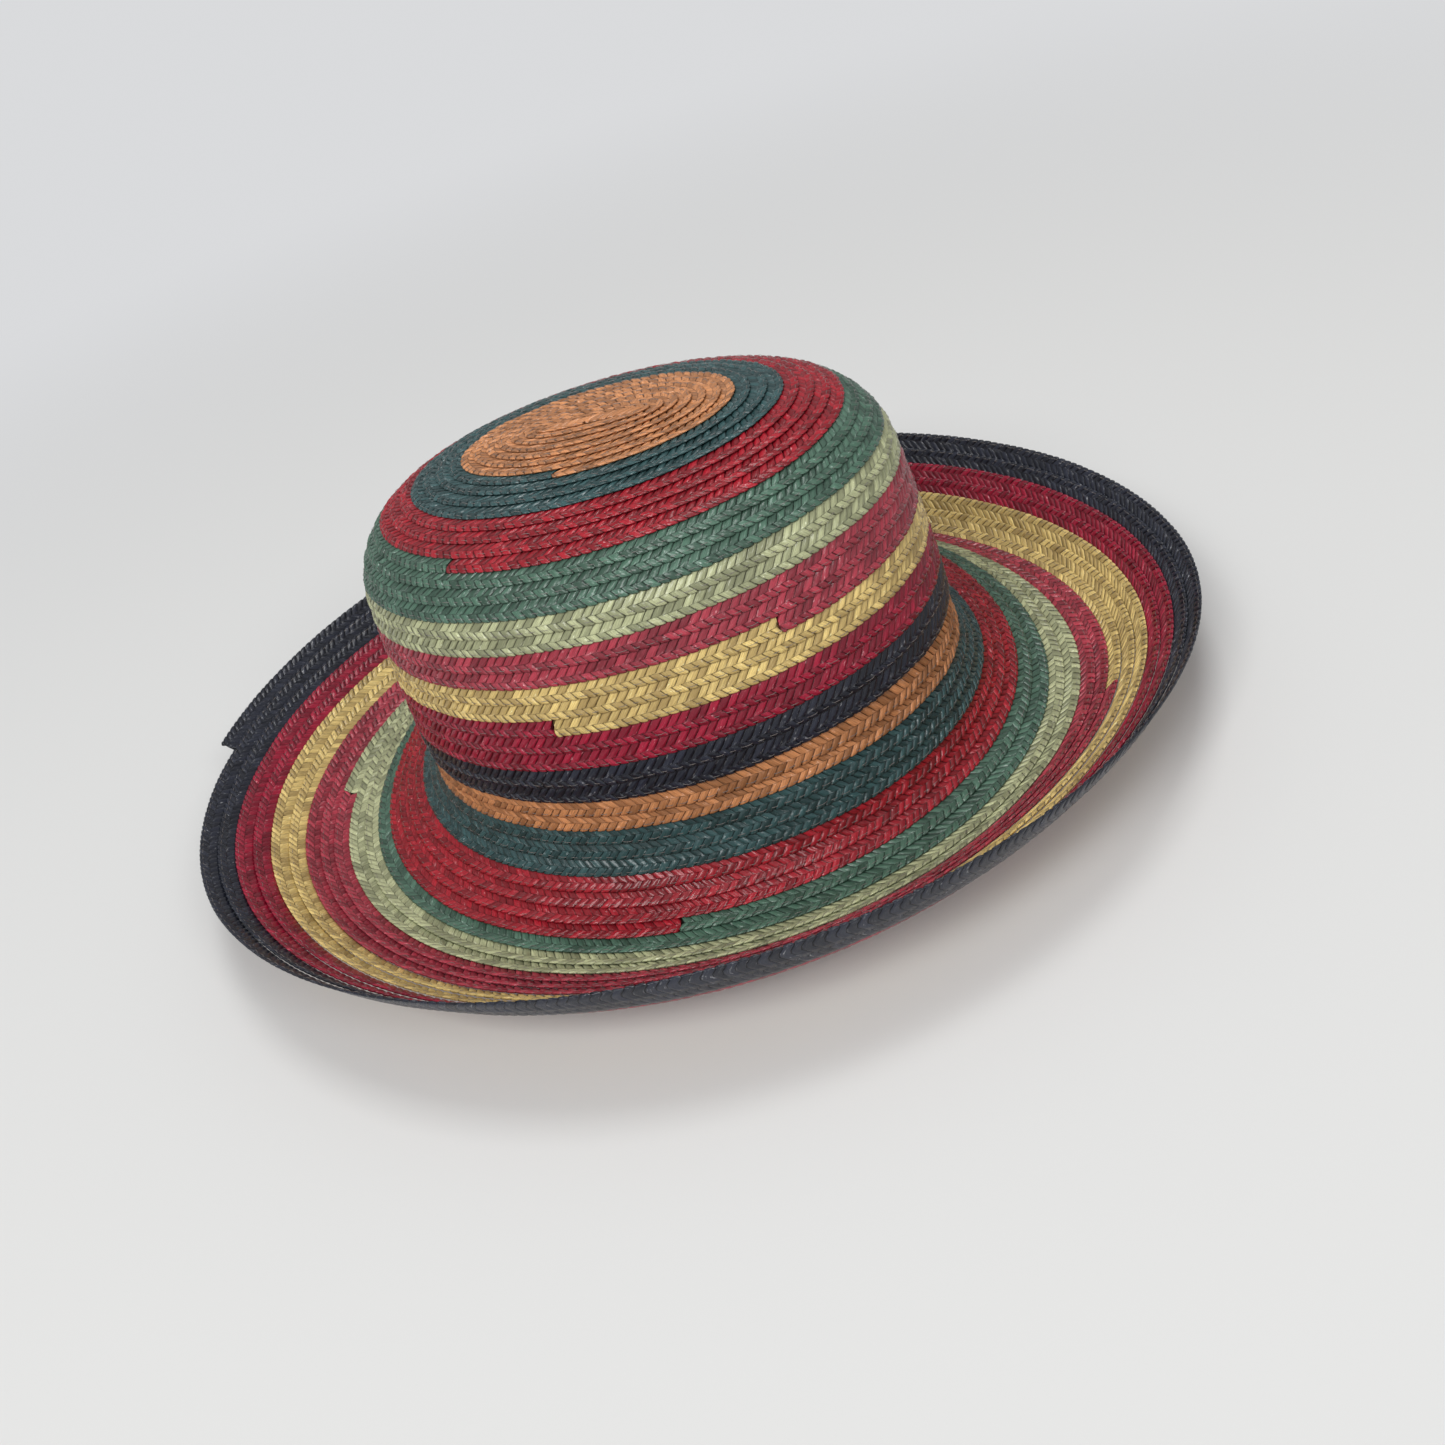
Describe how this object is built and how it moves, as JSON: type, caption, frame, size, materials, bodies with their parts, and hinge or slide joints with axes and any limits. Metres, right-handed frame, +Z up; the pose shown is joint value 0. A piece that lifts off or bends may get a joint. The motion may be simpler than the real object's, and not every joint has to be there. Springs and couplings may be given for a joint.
{
  "type": "sewn straw braid hat with upturned brim",
  "caption": "Oval rounded straw crown and wide rolled-up brim, each one spiral of lapped straw plait in coloured stripes, with a ribbon sweatband.",
  "frame": {"origin": "middle of the hat's box at its base, on the level that the brim's lowest ring rests on", "axes": "+Z up, out of the crown's tip; X along the long axis of the oval head opening; Y across it"},
  "size_m": [0.3924, 0.3488, 0.1404],
  "materials": {
    "straw_orange": "lacquered straw plait, semi-gloss",
    "straw_teal": "lacquered straw plait, semi-gloss",
    "straw_red": "lacquered straw plait, semi-gloss",
    "straw_green": "lacquered straw plait, semi-gloss",
    "straw_sage": "lacquered straw plait, semi-gloss",
    "straw_rose": "lacquered straw plait, semi-gloss",
    "straw_gold": "lacquered straw plait, semi-gloss",
    "straw_crimson": "lacquered straw plait, semi-gloss",
    "straw_navy": "lacquered straw plait, semi-gloss",
    "sweatband_ribbon": "grosgrain ribbon, matt"
  },
  "bodies": {
    "root": {"crown_orange_plait": "straw_orange", "crown_teal_plait": "straw_teal", "crown_red_plait": "straw_red", "crown_green_plait": "straw_green", "crown_sage_plait": "straw_sage", "crown_rose_plait": "straw_rose", "crown_gold_plait": "straw_gold", "crown_crimson_plait": "straw_crimson", "crown_navy_plait": "straw_navy", "brim_orange_plait": "straw_orange", "brim_teal_plait": "straw_teal", "brim_red_plait": "straw_red", "brim_green_plait": "straw_green", "brim_sage_plait": "straw_sage", "brim_rose_plait": "straw_rose", "brim_gold_plait": "straw_gold", "brim_crimson_plait": "straw_crimson", "brim_navy_plait": "straw_navy", "sweatband": "sweatband_ribbon"}
  },
  "joints": []
}
